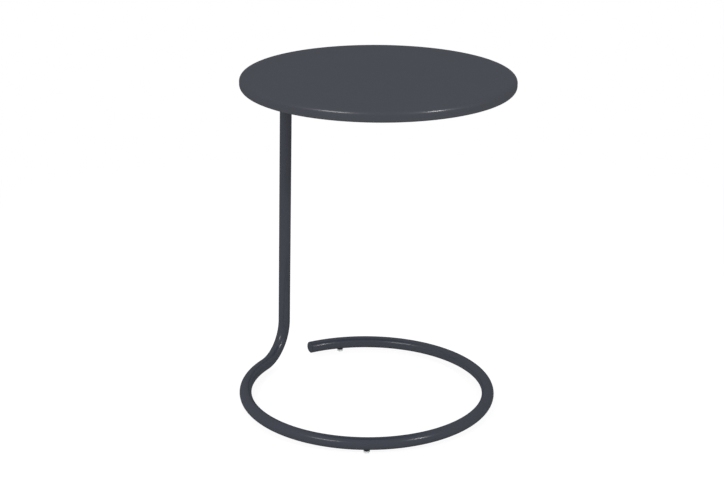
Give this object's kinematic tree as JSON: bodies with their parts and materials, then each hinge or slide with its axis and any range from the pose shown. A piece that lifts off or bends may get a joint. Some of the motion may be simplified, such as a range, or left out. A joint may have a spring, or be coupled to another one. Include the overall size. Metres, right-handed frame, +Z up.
{
  "type": "garden side table",
  "caption": "Round painted metal side table: a flat top with a rolled rim on one bent tube that rises as a post and lies on the floor as an open ring.",
  "frame": {"origin": "on the floor, under the middle of the table's bounding box", "axes": "+Z up, -Y towards the front (the side seen in the picture), +X to the right seen from the front"},
  "size_m": [0.4055, 0.433, 0.49],
  "materials": {
    "powder_coat_top": "satin, fine-textured anthracite powder coat on sheet steel",
    "powder_coat_under": "satin anthracite powder coat, a little duller on the underside",
    "powder_coat_tube": "satin anthracite powder coat on steel tube",
    "zinc_plate": "bright zinc-plated steel",
    "glide_black": "black moulded plastic",
    "pad_clear": "translucent soft plastic pad"
  },
  "bodies": {
    "root": {"table_top": "powder_coat_top", "doubler_plate": "powder_coat_under", "weld_studs": "zinc_plate", "mounting_plate": "powder_coat_under", "flange_nuts": "zinc_plate", "post_weld": "powder_coat_under", "tube_frame": "powder_coat_tube", "tube_end_cap": "powder_coat_tube", "glide_front": "glide_black", "glide_right": "glide_black", "glide_back": "glide_black", "glide_left": "glide_black", "pad_front": "pad_clear", "pad_right": "pad_clear", "pad_back": "pad_clear", "pad_left": "pad_clear"}
  },
  "joints": []
}
